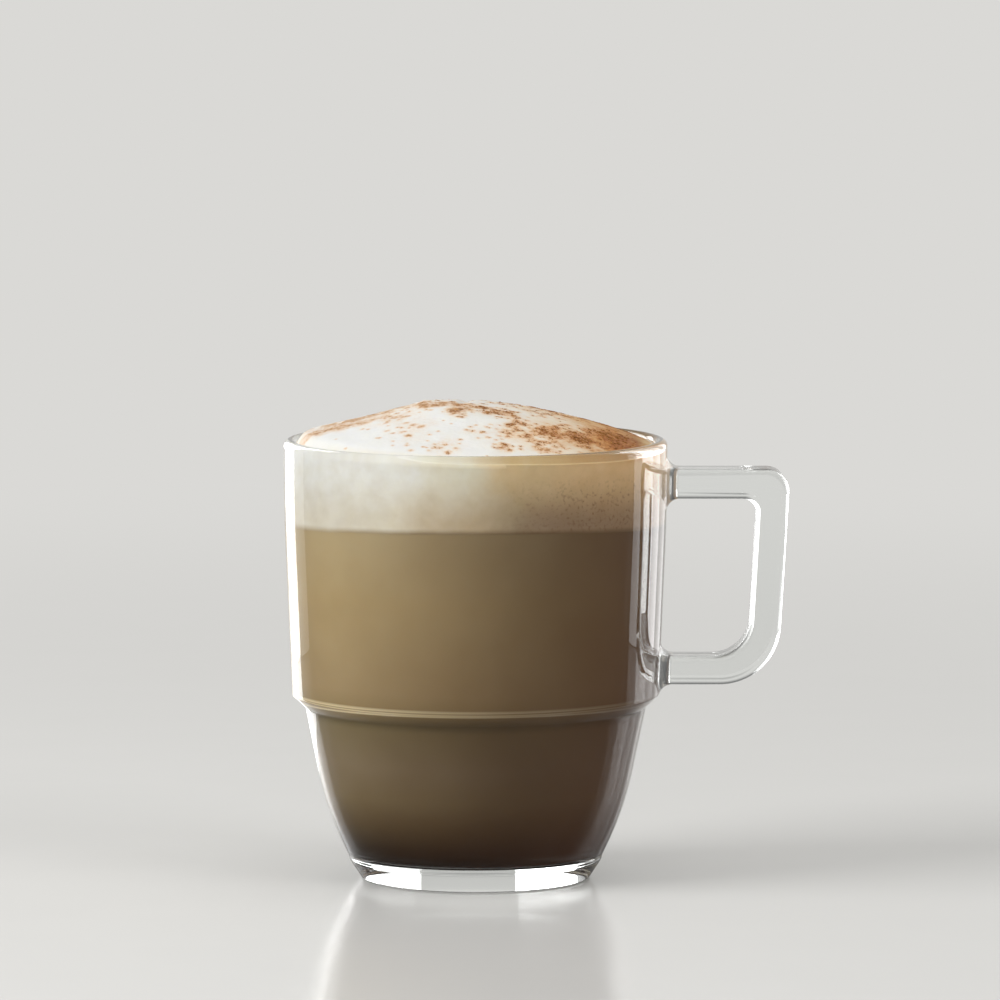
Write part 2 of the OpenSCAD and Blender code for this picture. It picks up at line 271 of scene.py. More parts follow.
def place_round(azimuth_deg, distance, height):
    """A place round the mug. Azimuth 0 is straight behind it, and 90 is at its handle."""
    turn = math.radians(azimuth_deg)
    return (distance * math.sin(turn), distance * math.cos(turn), height)


mug_middle = (0, 0, 0.045)
# Each lamp: its name, place, width, height and radiance.
soft_lamp("key", place_round(-112, 0.95, 0.48), 0.6, 0.6, 8.4)
soft_lamp("overhead", (0.1, -0.1, 1.25), 0.8, 0.8, 1.5)
soft_lamp("fill", place_round(125, 1.2, 0.6), 0.6, 0.6, 4.2)

# %% White cards
past_the_board = bpy.data.collections.new("past_the_board")
past_the_board.objects.link(floor)
past_the_board.collection_objects[0].light_linking.link_state = "EXCLUDE"
card_height = 0.34
# Each card: its name, where it starts and ends round the mug in degrees, distance, radiance.
cards = [["left", -46, -24.5, 0.30, 4.0], ["left_side", -60, -46, 0.30, 0.6],
         ["left_back", -27, -13, 0.90, 3.0], ["right_back", 18, 27, 0.90, 0.9],
         ["right_near", 24.5, 40, 0.30, 1.1], ["right", 40, 52, 0.30, 3.0],
         ["right_bright", 52, 66, 0.30, 5.5], ["right_side", 66, 75, 0.30, 1.5]]
for name, start, end, distance, radiance in cards:
    width = 2 * distance * math.tan(math.radians((end - start) / 2))
    card = soft_lamp("card_" + name, place_round((start + end) / 2, distance, card_height / 2),
                     width, card_height, radiance, lights_matt=False)
    card.light_linking.receiver_collection = past_the_board
flat_azimuth, flat_near, flat_far, flat_width, flat_lift = -35, 0.125, 0.30, 0.11, 0.0005
flat_radiance = 2.0
flat = soft_lamp("card_flat", place_round(flat_azimuth, (flat_near + flat_far) / 2, flat_lift),
                 flat_width, flat_far - flat_near, flat_radiance, lights_matt=False)
flat.rotation_euler = (math.pi, 0, -math.radians(flat_azimuth))
flat.light_linking.receiver_collection = past_the_board
print("cards:", len(cards) + 1)

# %% How far light is followed
# Light crosses up to a dozen glass faces on its way through bowl, foot and handle.
scene.cycles.max_bounces = 32
scene.cycles.transmission_bounces = 32
scene.cycles.glossy_bounces = 12
scene.cycles.transparent_max_bounces = 32
print("bounces:", scene.cycles.max_bounces)

# %% [markdown]
# The bowl is pressed between a mould and a plunger, so both its faces are surfaces of
# revolution and every corner has a radius. It could be spun from a curve with a Screw
# modifier, but clear glass bends every ray by its surface normal, and a modifier's averaged
# normals shimmer at the edge of each rounding. Here one section is worked out from its corners
# and radii, spun by hand, and given the exact normals of that section.

# %% The bowl's sizes, mm
# _r is a radius, _z a height above the table, _l a length, _w a width, _t a thickness and _h
# a height. A share is a part of the length beside it.
rim_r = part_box("glass_bowl")[1].x / MM
bowl_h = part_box("glass_bowl")[1].z / MM
rim_r = round(rim_r, 1)
wall_t, foot_wall_t = 2.6, 3.3
shoulder_r_out, shoulder_z, ledge_w, ledge_drop = 34.5, 34.8, 2.4, 2.3
bend_r_out, bend_z = 27.9, 12.4
heel_r_out, heel_z = 23.9, 4.4
stand_r_out, stand_w = 21.4, 2.0
floor_z, punt_h = 5.0, 1.3
bow_radius, shoulder_radius, ledge_radius, bend_radius = 380, 0.6, 0.6, 60
heel_radius, stand_radius, floor_radius, inside_step_radius = 2.0, 0.7, 6.0, 3.0
shoulder_wall_share, bow_share = 0.3, 0.75
heel_low_z_share, heel_low_in_share = 0.8, 0.08
punt_top_share, punt_bow_share = 0.6, 3
inside_step_share = 0.3
print("rim radius and bowl height, mm:", rim_r, round(bowl_h, 2))


# %% Outlines with rounded corners
# An arc has a point every few degrees and a straight one every millimetre or two. A corner's
# arc takes at most its share of the straights beside it.
step_deg, least_steps, straight_mm, straight_share = 3.0, 6, 1.6, 0.98


def unit(vector):
    """A vector made one long."""
    return vector / np.linalg.norm(vector)


def corner_at(tips, i):
    """Directions from a corner back and on along its path, and half the angle between them."""
    back, on = unit(tips[i - 1] - tips[i]), unit(tips[i + 1] - tips[i])
    return back, on, math.acos(max(-1.0, min(1.0, float(back @ on)))) / 2


def arc(tips, i, reach, steps):
    """Points of the arc that rounds a corner and touches its sides at a reach from its tip."""
    back, on, half = corner_at(tips, i)
    centre = tips[i] + unit(back + on) * reach * math.tan(half) / math.sin(half)
    a, b = tips[i] + back * reach - centre, tips[i] + on * reach - centre
    sweep = math.pi - 2 * half
    return [centre + (a * math.sin(sweep * (1 - t)) + b * math.sin(sweep * t)) / math.sin(sweep)
            for t in np.linspace(0, 1, steps + 1)]


square_corner = np.array([[0, 0], [9, 0], [9, 9]], float)
print("middle of a square corner's arc:", arc(square_corner, 1, 2, 2)[1].round(2).tolist())


# %% A path through rounded corners
def rounded(corners):
    """A path through corners [x, z, radius], each one rounded, with long straights divided."""
    tips = np.array(corners, float)[:, :2]
    last = len(corners) - 1
    wanted = [0 if i in (0, last) else corners[i][2] / math.tan(corner_at(tips, i)[2])
              for i in range(last + 1)]
    path = [tips[0]]
    for i in range(1, last):
        room = [straight_share * np.linalg.norm(tips[i] - tips[j]) * wanted[i]
                / (wanted[i] + wanted[j]) for j in (i - 1, i + 1)]
        sweep = math.pi - 2 * corner_at(tips, i)[2]
        steps = max(least_steps, math.ceil(math.degrees(sweep) / step_deg))
        path += arc(tips, i, min(wanted[i], *room), steps)
    path.append(tips[last])
    divided = [path[0]]
    for start, end in zip(path, path[1:]):
        pieces = max(1, math.ceil(np.linalg.norm(end - start) / straight_mm))
        divided += [start + (end - start) * k / pieces for k in range(1, pieces + 1)]
    return np.array(divided)


def right_hand_normals(path):
    """Unit normals on the right of a path's direction, averaged at each point."""
    along = np.diff(path, axis=0)
    along /= np.linalg.norm(along, axis=1)[:, None]
    sides = np.stack([along[:, 1], -along[:, 0]], 1)
    total = np.vstack([sides[:1], sides[:-1] + sides[1:], sides[-1:]])
    return total / np.linalg.norm(total, axis=1)[:, None]


print("points of a rounded square corner:", len(rounded([[0, 0, 0], [9, 0, 2], [9, 9, 0]])))

# %% The bowl's section
bow_z = shoulder_z + (bowl_h - shoulder_z) * bow_share
ledge_r_out, ledge_z = shoulder_r_out - ledge_w, shoulder_z - ledge_drop
heel_low_r = heel_r_out - (heel_r_out - stand_r_out) * heel_low_in_share
punt_r = stand_r_out - stand_w
base_corners = [
    [0, punt_h, 0],
    [punt_r * punt_top_share, punt_h, punt_r * punt_bow_share],
    [punt_r, 0, stand_radius / 2],
]
side_corners = [
    [stand_r_out, 0, stand_radius],
    [heel_low_r, heel_z * heel_low_z_share, heel_radius],
    [heel_r_out, heel_z, heel_radius],
    [bend_r_out, bend_z, bend_radius],
    [ledge_r_out, ledge_z, ledge_radius],
    [shoulder_r_out, shoulder_z, shoulder_radius],
    [rim_r, bow_z, bow_radius],
    [rim_r, bowl_h, wall_t / 2],
]
shoulder_wall_t = wall_t + (foot_wall_t - wall_t) * shoulder_wall_share
inside_low = ledge_drop * inside_step_share
slope = (bend_r_out - heel_r_out) / (bend_z - heel_z)
inside_corners = [
    [rim_r - wall_t, bowl_h, wall_t / 2],
    [rim_r - wall_t, bow_z, bow_radius],
    [shoulder_r_out - shoulder_wall_t, shoulder_z - inside_low, inside_step_radius],
    [ledge_r_out - shoulder_wall_t, ledge_z - inside_low, inside_step_radius],
    [bend_r_out - foot_wall_t, bend_z, bend_radius],
    [heel_r_out - foot_wall_t + slope * (floor_z - heel_z), floor_z, floor_radius],
    [0, floor_z, 0],
]
bowl_section = rounded(base_corners + side_corners + inside_corners)
bowl_normals = right_hand_normals(bowl_section)
hollow = rounded([[0, bowl_h, 0]] + inside_corners)
print("points in the bowl's section:", len(bowl_section))


# %% Reading the wall
crest_i = int(np.argmax(bowl_section[:, 1]))
outer_i = [i for i in range(crest_i) if bowl_section[i, 0] > heel_low_r]
outer_z, outer_r = bowl_section[outer_i, 1], bowl_section[outer_i, 0]
floor_middle_r = 1.0
hollow_side = hollow[hollow[:, 0] > floor_middle_r][::-1]


def wall_r(z):
    """Radius of the bowl's outside at a height, mm."""
    return np.interp(z, outer_z, outer_r)


def inner_r(z):
    """Radius of the bowl's hollow at a height, mm."""
    return np.interp(z, hollow_side[:, 1], hollow_side[:, 0])


def wall_place(u, z):
    """A place on the outside, from its distance round the wall and its height, mm."""
    turn = u / rim_r
    return [wall_r(z) * math.cos(turn), wall_r(z) * math.sin(turn), z]


def wall_normal(u, z):
    """The outside's normal at such a place."""
    turn = u / rim_r
    nr = np.interp(z, outer_z, bowl_normals[outer_i, 0])
    nz = np.interp(z, outer_z, bowl_normals[outer_i, 1])
    return [nr * math.cos(turn), nr * math.sin(turn), nz]


print("wall radius at the bow and the shoulder, mm:",
      [round(float(wall_r(z)), 2) for z in (bow_z, shoulder_z)])

# %% [markdown]
# The handle is pressed with the bowl's outside or fused to it while hot: the two glasses run
# into one another, and only a soft flare shows where they meet. It could be a bevelled curve,
# but a curve can't flare at its ends. It is lofted instead: one rounded section is carried along
# the handle's outer and inner outlines and spread onto the wall at each root.

# %% The handle's sizes, mm
handle_x, handle_top, handle_h, handle_w = 59.0, 77.4, 40.6, 9.0
top_bar_t, grip_t, low_bar_t, grip_lean = 5.6, 5.9, 5.4, 2.4
top_corner_r, top_inner_r, low_corner_r, low_inner_r = 4.2, 2.6, 11.5, 7.0
edge_r, flare_l, flare_w = 1.3, 2.4, 2.6
edge_steps, flare_steps, flare_end_deg, corner_steps = 9, 14, 88, 20
handle_low = handle_top - handle_h
top_in_z, low_in_z = handle_top - top_bar_t, handle_low + low_bar_t
lean_in = grip_lean * low_bar_t / handle_h
quarter = math.pi / 2


def rounded_section(shift=0.0):
    """Corner signs and the direction round each corner, all turned by a small angle."""
    rows = []
    for q, (along_sign, across_sign) in enumerate([(1, 1), (-1, 1), (-1, -1), (1, -1)]):
        for i in range(edge_steps):
            turn = quarter * (q + i / (edge_steps - 1)) + shift
            rows.append([along_sign, across_sign, math.cos(turn), math.sin(turn)])
    return np.array(rows)


section = rounded_section()
print("points round the handle's section:", len(section))


# %% Rings of the handle's bar and of its roots
def bar_ring(outer, inner, section):
    """A ring between an outer and an inner point [x, z]."""
    out = unit(outer - inner)
    half_t = np.linalg.norm(outer - inner) / 2
    along = section[:, 0] * (half_t - edge_r) + section[:, 2] * edge_r
    across = section[:, 1] * (handle_w / 2 - edge_r) + section[:, 3] * edge_r
    middle = (outer + inner) / 2
    return np.stack([middle[0] + along * out[0], across, middle[1] + along * out[1]], 1)


def root_ring(z_outer, z_inner, gap, grow, section):
    """A ring round a root, spread by "grow", at a distance from the wall."""
    up = math.copysign(1, z_outer - z_inner)
    half_t = abs(z_outer - z_inner) / 2
    z = (z_outer + z_inner) / 2 + up * (
        section[:, 0] * (half_t - edge_r) + section[:, 2] * (edge_r + grow))
    y = section[:, 1] * (handle_w / 2 - edge_r) + section[:, 3] * (edge_r + grow)
    x = np.sqrt(wall_r(z) ** 2 - y ** 2) + gap
    return np.stack([x, y, z], 1)


def root(z_outer, z_inner, section):
    """The rings of a root, from the wall to where the bar runs straight."""
    turns = np.radians(np.linspace(flare_end_deg, 0, flare_steps + 1))
    gaps = flare_l * (1 - np.sin(turns))
    gaps[0] = 0
    return [root_ring(z_outer, z_inner, gap, flare_w * (1 - math.cos(turn)), section)
            for gap, turn in zip(gaps, turns)]


top_foot = root(handle_top, top_in_z, section)[0]
print("the top root is", round(float(np.ptp(top_foot[:, 1])), 1), "mm wide on the wall")


# %% The handle's corners and all its rings
def corner_points(corners, i):
    """Points of the arc that rounds one corner of [x, z, radius]."""
    tips = np.array(corners, float)[:, :2]
    return arc(tips, i, corners[i][2] / math.tan(corner_at(tips, i)[2]), corner_steps)


outer_corners = [
    [shoulder_r_out, handle_top, 0],
    [handle_x, handle_top, top_corner_r],
    [handle_x - grip_lean, handle_low, low_corner_r],
    [shoulder_r_out, handle_low, 0],
]
inner_corners = [
    [shoulder_r_out, top_in_z, 0],
    [handle_x - grip_t - lean_in, top_in_z, top_inner_r],
    [handle_x - grip_t - grip_lean + lean_in, low_in_z, low_inner_r],
    [shoulder_r_out, low_in_z, 0],
]


def rings_of(section):
    """All the rings of the handle, from its top root to its bottom one."""
    bends = [bar_ring(outer, inner, section) for i in (1, 2) for outer, inner in zip(
        corner_points(outer_corners, i), corner_points(inner_corners, i))]
    return np.array(root(handle_top, top_in_z, section) + bends
                    + root(handle_low, low_in_z, section)[::-1])


handle_rings = rings_of(section)
print("rings of the handle:", len(handle_rings))

# %% [markdown]
# Where handle and bowl are fused there is no surface between them: light runs straight
# through. Two closed meshes that only touch would show a dark double wall there. So the bowl's
# wall is cut along the foot of each root, the patch inside the foot gets a see-through
# material, and the handle ends in the same triangles turned round. A constrained
# triangulation fits the foot's outline into the wall's grid without moving the wall.

# %% Fit the roots' feet into the bowl's wall
sectors = 256
sector_u = 2 * math.pi / sectors * rim_r
window_margin, keep_off = 1.2, 0.35
inside_only, same_point = 1, 1e-6


def fit_foot(ring):
    """Triangles of the wall round and inside one foot. A point is a grid place or a foot point."""
    y, z = ring[:, 1], ring[:, 2]
    foot = np.stack([np.arcsin(y / wall_r(z)) * rim_r, z], 1)
    reach = int(math.ceil((np.abs(foot[:, 0]).max() + window_margin) / sector_u))
    low = max(i for i in outer_i if bowl_section[i, 1] < z.min() - window_margin)
    high = min(i for i in outer_i if bowl_section[i, 1] > z.max() + window_margin)
    keys, spots = [], []
    for i in range(low, high + 1):
        for j in range(-reach, reach + 1):
            spot = np.array([j * sector_u, bowl_section[i, 1]])
            on_border = i in (low, high) or abs(j) == reach
            if on_border or np.linalg.norm(foot - spot, axis=1).min() > keep_off:
                keys.append((i, j))
                spots.append(spot)
    where = {key: n for n, key in enumerate(keys)}
    border = ([(low, j) for j in range(-reach, reach)]
              + [(i, reach) for i in range(low, high)]
              + [(high, j) for j in range(reach, -reach, -1)]
              + [(i, -reach) for i in range(high, low, -1)])
    grid_count = len(keys)
    keys += [("foot", n) for n in range(len(foot))]
    loop = list(range(grid_count, grid_count + len(foot)))
    area = sum(a[0] * b[1] - b[0] * a[1] for a, b in zip(foot, np.roll(foot, -1, axis=0)))
    if area < 0:
        loop.reverse()
    points = [Vector(p) for p in spots] + [Vector(p) for p in foot]
    made, _, triangles, origins, _, owners = geometry.delaunay_2d_cdt(
        points, [], [[where[k] for k in border], loop], inside_only, same_point)
    wall, seat = [], []
    for triangle, owner in zip(triangles, owners):
        corners = [keys[origins[v][0]] for v in triangle]
        a, b, c = (made[v] for v in triangle)
        if (b - a).cross(c - a) < 0:
            corners.reverse()
        (seat if 1 in owner else wall).append(corners)
    return {"wall": wall, "seat": seat, "foot": foot,
            "cut": {(i, j) for i in range(low, high) for j in range(-reach, reach)}}


feet = [fit_foot(handle_rings[0]), fit_foot(handle_rings[-1])]
for name, foot in zip(("top", "bottom"), feet):
    print(name, "root: wall triangles", len(foot["wall"]), "and seat triangles", len(foot["seat"]))


# %% Turning lists of points into objects
def make_piece(name, points_mm, faces, normals=None):
    """A smooth-shaded object at the origin, from points in mm, with exact normals if given."""
    mesh = bpy.data.meshes.new(name)
    mesh.from_pydata((np.asarray(points_mm) * MM).tolist(), [], faces)
    mesh.polygons.foreach_set("use_smooth", [True] * len(mesh.polygons))
    if normals is not None:
        mesh.normals_split_custom_set_from_vertices(np.asarray(normals).tolist())
    piece = bpy.data.objects.new(name, mesh)
    scene.collection.objects.link(piece)
    return piece


def spin(section_points, section_normals, cut=frozenset()):
    """Points, normals and faces of a section spun round Z, and the number of each grid place."""
    points, normals, number = [], [], {}
    for i, ((r, z), (nr, nz)) in enumerate(zip(section_points, section_normals)):
        on_axis = r < same_point
        for j in range(1 if on_axis else sectors):
            turn = 2 * math.pi * j / sectors
            number[i, j] = len(points)
            points.append([r * math.cos(turn), r * math.sin(turn), z])
            normals.append([nr * math.cos(turn), nr * math.sin(turn), nz])
        if on_axis:
            normals[-1] = [0, 0, math.copysign(1, nz)]
            number.update({(i, j): number[i, 0] for j in range(sectors)})
    faces = []
    for i in range(len(section_points) - 1):
        for j in range(sectors):
            signed_j = j if j < sectors // 2 else j - sectors
            if (i, signed_j) in cut:
                continue
            k = (j + 1) % sectors
            quad = [number[i, j], number[i, k], number[i + 1, k], number[i + 1, j]]
            faces.append(list(dict.fromkeys(quad)))
    return points, normals, faces, number


print("faces of a small cone:", len(spin([[0, 1], [1, 0]], [[0, 1], [1, 1]])[2]))

# %% The bowl
cut = feet[0]["cut"] | feet[1]["cut"]
points, normals, faces, number = spin(bowl_section, bowl_normals, cut)
seat_faces = []
for foot in feet:
    foot_start = len(points)
    for u, z in foot["foot"]:
        points.append(wall_place(u, z))
        normals.append(wall_normal(u, z))

    def bowl_number(key):
        return foot_start + key[1] if key[0] == "foot" else number[key[0], key[1] % sectors]

    faces += [[bowl_number(k) for k in corners] for corners in foot["wall"]]
    seat_faces += [[bowl_number(k) for k in corners] for corners in foot["seat"]]
bowl = make_piece("bowl", points, faces + seat_faces, normals)
bowl_seats = [len(faces), len(faces) + len(seat_faces)]
print("bowl: faces", len(bowl.data.polygons), "seat faces", len(seat_faces))

# %% The handle's skin
small_turn = 0.001
ring_size, ring_count = len(section), len(handle_rings)
points = handle_rings.reshape(-1, 3).tolist()
along = np.gradient(handle_rings, axis=0)
round_way = rings_of(rounded_section(small_turn)) - rings_of(rounded_section(-small_turn))
normals = np.cross(along, round_way)
normals /= np.linalg.norm(normals, axis=2)[:, :, None]
for r, foot in ((0, feet[0]), (ring_count - 1, feet[1])):
    normals[r] = [wall_normal(u, z) for u, z in foot["foot"]]
normals = normals.reshape(-1, 3).tolist()
faces = []
for r in range(ring_count - 1):
    for j in range(ring_size):
        k = (j + 1) % ring_size
        a, b = r * ring_size, (r + 1) * ring_size
        faces.append([a + j, b + j, b + k, a + k])
print("handle: faces of its skin", len(faces))

# %% The handle's seats
seat_faces = []
for first, foot in ((0, feet[0]), ((ring_count - 1) * ring_size, feet[1])):
    inner = sorted({k for corners in foot["seat"] for k in corners if k[0] != "foot"})
    inner_number = {key: len(points) + n for n, key in enumerate(inner)}
    for i, j in inner:
        z = bowl_section[i, 1]
        points.append(wall_place(j * sector_u, z))
        normals.append([-c for c in wall_normal(j * sector_u, z)])
    for corners in foot["seat"]:
        seat_faces.append([first + k[1] if k[0] == "foot" else inner_number[k]
                           for k in reversed(corners)])
handle = make_piece("handle", points, faces + seat_faces, normals)
handle_seats = [len(faces), len(faces) + len(seat_faces)]
print("handle: faces", len(handle.data.polygons), "box, mm:",
      [round(v / MM, 1) for v in handle.dimensions])

# %% Where the handle's glass was chilled
ring_chill = np.zeros(ring_count)
ring_chill[:flare_steps + 1] = np.sin(np.linspace(0, math.pi, flare_steps + 1))
ring_chill += ring_chill[::-1]
chill_values = np.zeros(len(points))
chill_values[:ring_count * ring_size] = np.repeat(ring_chill, ring_size)
handle.data.attributes.new("chill", "FLOAT", "POINT").data.foreach_set("value", chill_values)
print("points with more than half the chill:", int((chill_values > 0.5).sum()))

# %% [markdown]
# The mug is soda-lime glass, pressed in an iron mould and toughened. It is clear, bends light
# with an index of 1.52, and keeps a trace of green in the thick foot. The mould and plunger
# leave it a little uneven, so reflections waver over a centimetre or so. Real glass lets lamp
# light through to the drink by way of caustics, which a renderer finds slowly and noisily.
# Rays from lamps and from matt surfaces pass straight through here instead, and only what the
# eye sees is bent. At its two roots the handle's glass was chilled first by the mould, which
# leaves its skin there a little milky. The handle's mesh keeps that as a value at its points,
# and the bowl's has none, which counts as 0.

# %% Pressed glass
# Toughened glass is as smooth as a mirror, so its roughness is 0 and every light has a sharp
# edge in it. The waver is a hundredth of a millimetre high and shows only where it bends a
# light.
seen_through, glass_ior = "#FAFBFA", 1.52
waver_mm, waver_h = 14, 0.012
pressed_glass = new_material("pressed_soda_lime_glass")
place = add_node(pressed_glass, "TexCoord").outputs["Object"]
waver = add_node(pressed_glass, "TexNoise", {
    "Vector": place, "Scale": per_metre(waver_mm), "Detail": 1.0})
waver_bump = add_node(pressed_glass, "Bump", {
    "Height": waver, "Strength": 1.0, "Distance": waver_h * MM})
chill = add_node(pressed_glass, "Attribute", attribute_name="chill").outputs["Fac"]
haze = add_node(pressed_glass, "MapRange", {"Value": chill, "To Min": 0.0, "To Max": 0.22})
clearness = add_node(pressed_glass, "MapRange", {"Value": chill, "To Min": 1.0, "To Max": 0.74})
clear = add_node(pressed_glass, "BsdfPrincipled", {
    "Base Color": "#FBFDFC", "Roughness": haze, "IOR": glass_ior,
    "Transmission Weight": clearness, "Normal": waver_bump})
lamp_through = add_node(pressed_glass, "BsdfTransparent", {"Color": seen_through})
matt_through = add_node(pressed_glass, "BsdfTransparent", {"Color": seen_through})
ray = add_node(pressed_glass, "LightPath")
for_lamps = add_node(pressed_glass, "MixShader", {
    "Fac": ray.outputs["Is Shadow Ray"], 1: clear, 2: lamp_through})
for_matt = add_node(pressed_glass, "MixShader", {
    "Fac": ray.outputs["Is Diffuse Ray"], 1: for_lamps, 2: matt_through})
add_node(pressed_glass, "OutputMaterial", {"Surface": for_matt})
fused_seat = new_material("fused_glass_seat")
through = add_node(fused_seat, "BsdfTransparent", {"Color": "#FFFFFF"})
add_node(fused_seat, "OutputMaterial", {"Surface": through})
print("glass:", pressed_glass.name, "and", fused_seat.name)

# %% Glass on the bowl and the handle
for piece, seats in ((bowl, bowl_seats), (handle, handle_seats)):
    piece.data.materials.append(pressed_glass)
    piece.data.materials.append(fused_seat)
    for index in range(*seats):
        piece.data.polygons[index].material_index = 1
    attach(piece, "root")
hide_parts("glass_bowl")
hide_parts("glass_handle")
print("glass pieces:", bowl.name, handle.name)

# %% [markdown]
# The drink wets the glass: there is no air between them, so the wall looks filled right to
# its edge, as in a real glass. A drink mesh that only touched the wall would leave a thin
# mirror of air round it. The drink is spun from the bowl's own hollow and reaches a few
# hundredths of a millimetre into the wall, which is how wet contact is drawn.

# %% The drink's sizes, mm
wet, below_border, axis_gap = 0.05, 0.8, 0.01
coffee_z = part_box("latte")[1].z / MM
foam_edge_z, foam_lean, foam_peak, peak_shift = 81.7, 2.2, 8.4, 9.6
heap_power, heap_power_swing = 1.45, 0.6
line_wave, line_wave_mm = 0.15, 11.0
line_rise, line_saddle = 0.15, 0.75
print("coffee's top, mm:", round(coffee_z, 2))


def line_z(turn):
    """Height of the border between coffee and foam round the wall, which isn't quite level."""
    spot = Vector((math.cos(turn), math.sin(turn), 0)) * (rim_r / line_wave_mm)
    return (coffee_z + line_rise - line_saddle * math.cos(2 * turn)
            + line_wave * noise.noise(spot))


# %% Closed shells of rings
def ring_points(r, z, turns):
    """Points of a level ring."""
    return [[r * math.cos(turn), r * math.sin(turn), z] for turn in turns]


def shell_faces(ring_total, per_ring):
    """Faces of a shell that starts at its first point, on top, runs down through its rings and
    closes at its last point."""
    faces, end = [], 1 + ring_total * per_ring
    for j in range(per_ring):
        k = (j + 1) % per_ring
        faces.append([0, 1 + j, 1 + k])
        for a in range(1, end - per_ring, per_ring):
            b = a + per_ring
            faces.append([a + j, b + j, b + k, a + k])
        faces.append([end - per_ring + j, end, end - per_ring + k])
    return faces


print("faces of a small shell:", len(shell_faces(2, 8)))

# %% Milk coffee
coffee_turns = np.linspace(0, 2 * math.pi, sectors, endpoint=False)
below = hollow[hollow[:, 1] < coffee_z - below_border]
wetted = below - right_hand_normals(below) * wet
wetted = wetted[wetted[:, 0] > axis_gap]
coffee_points = [[0, 0, floor_z - wet]]
for r, z in wetted[::-1]:
    coffee_points += ring_points(r, z, coffee_turns)
top_r = float(inner_r(coffee_z)) + wet
for turn in coffee_turns:
    coffee_points += ring_points(top_r, line_z(turn), [turn])
coffee_points.append([0, 0, coffee_z])
# The shell is made from the bottom up, so its faces are turned round.
coffee_faces = [face[:1] + face[:0:-1] for face in shell_faces(len(wetted) + 1, sectors)]
coffee = make_piece("milk_coffee", coffee_points, coffee_faces)
coffee.data.set_sharp_from_angle(angle=math.radians(60))
print("coffee: faces", len(coffee.data.polygons))

# %% [markdown]
# Coffee with milk stays cloudy, so light enters it a little way and comes back soft and warm.
# Its colour is painted darker from the top down to near black at the bottom, in a slow change
# with faint clouds in it. This is painted shade, where the lower walls turn from the light and the
# rounded floor shows dark. A flat colour would look like paint. A ramp along the height gives
# the painted shade and noise gives the clouds. A second change paints the side by the handle
# darker and warmer, as shade away from the key. Where the wall's inside bends at the shoulder, a
# thin bright ring is painted into the colour: a painted highlight for the light that the glass
# gathers there.

# %% Milk coffee's colour
# Brewed coffee with milk stirred in. Its milk hangs in wide clouds, and the eye sees a body
# that is never quite one colour.
milk_cloud_mm = 20


def mottling(material, size_mm, detail, start, end, low=0.0, high=1.0, roughness=0.5):
    """A cloudy pattern of a real size. Its noise from start to end becomes low to high."""
    clouds = add_node(material, "TexNoise", {
        "Vector": add_node(material, "TexCoord").outputs["Object"],
        "Scale": per_metre(size_mm), "Detail": detail, "Roughness": roughness})
    return add_node(material, "MapRange", {
        "Value": clouds, "From Min": start, "From Max": end, "To Min": low, "To Max": high})


milk_coffee = new_material("milk_coffee")
axes = add_node(milk_coffee, "SeparateXYZ", {
    "Vector": add_node(milk_coffee, "TexCoord").outputs["Object"]})
shade_height = add_node(milk_coffee, "MapRange", {
    "Value": axes.outputs["Z"], "From Min": floor_z * MM, "From Max": coffee_z * MM})
# A thin ring of the ramp, just above the shoulder, is painted bright: a painted highlight, not a
# colour of the drink.
coffee_depth, glow_up, glow_half_mm = coffee_z - floor_z, 0.3, 0.13
painted_glow_ring = (shoulder_z + glow_up - floor_z) / coffee_depth
glow_half = glow_half_mm / coffee_depth
# The ramp is painted shade: it darkens downwards, to near black at the floor.
height_shade_tone = add_node(milk_coffee, "ValToRGB", {"Fac": shade_height}, tones=[
    [0, "#0C0804"], [0.05, "#2C1E0A"], [0.12, "#5E4C30"], [0.2, "#7E6C4E"], [0.3, "#87755A"],
    [0.435, "#80704F"], [0.455, "#8F7C57"], [painted_glow_ring - 2 * glow_half, "#86714C"],
    [painted_glow_ring - glow_half, "#E0CDA6"], [painted_glow_ring + glow_half, "#E0CDA6"],
    [painted_glow_ring + 2 * glow_half, "#9C8660"], [0.53, "#A8906A"], [0.8, "#B79F74"],
    [1, "#BBA67F"]])
coffee_tone = add_node(milk_coffee, "Mix", {
    "Factor_Float": mottling(milk_coffee, milk_cloud_mm, 3, 0.35, 0.65, high=0.35,
                             roughness=0.45),
    "A_Color": height_shade_tone, "B_Color": "#CFC4AE"}, data_type="RGBA", blend_type="MULTIPLY")
# Painted shade: the coffee is painted darker and warmer from the left towards the handle, away
# from the key.
painted_shade_across = add_node(milk_coffee, "MapRange", {
    "Value": axes.outputs["X"], "From Min": -26 * MM, "From Max": 34 * MM, "To Max": 0.96})
shaded_coffee_tone = add_node(milk_coffee, "Mix", {
    "Factor_Float": painted_shade_across, "A_Color": coffee_tone, "B_Color": "#4E2708"}, data_type="RGBA")
print("the coffee's thin ring is at", round(painted_glow_ring, 3), "of its depth")

# %% Milk coffee's wet face
# The drink touches glass, so it has no gloss of its own. Only the step from glass to water
# mirrors: almost nothing straight on, and everything at a grazing angle.
water_ior = 1.34
coffee_body = add_node(milk_coffee, "BsdfPrincipled", {
    "Base Color": shaded_coffee_tone, "Roughness": 0.4, "IOR": water_ior, "Specular IOR Level": 0.0,
    "Subsurface Weight": 0.2, "Subsurface Radius": (2.2, 1.4, 0.8), "Subsurface Scale": 1.0 * MM})
mirror = add_node(milk_coffee, "BsdfGlossy", {"Color": "#FFFFFF", "Roughness": 0.0})
wet_face = add_node(milk_coffee, "Fresnel", {"IOR": water_ior / glass_ior})
coffee_mix = add_node(milk_coffee, "MixShader", {"Fac": wet_face, 1: coffee_body, 2: mirror})
add_node(milk_coffee, "OutputMaterial", {"Surface": coffee_mix})
coffee.data.materials.append(milk_coffee)
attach(coffee, "root")
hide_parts("latte")
print("coffee is", coffee.data.materials[0].name)

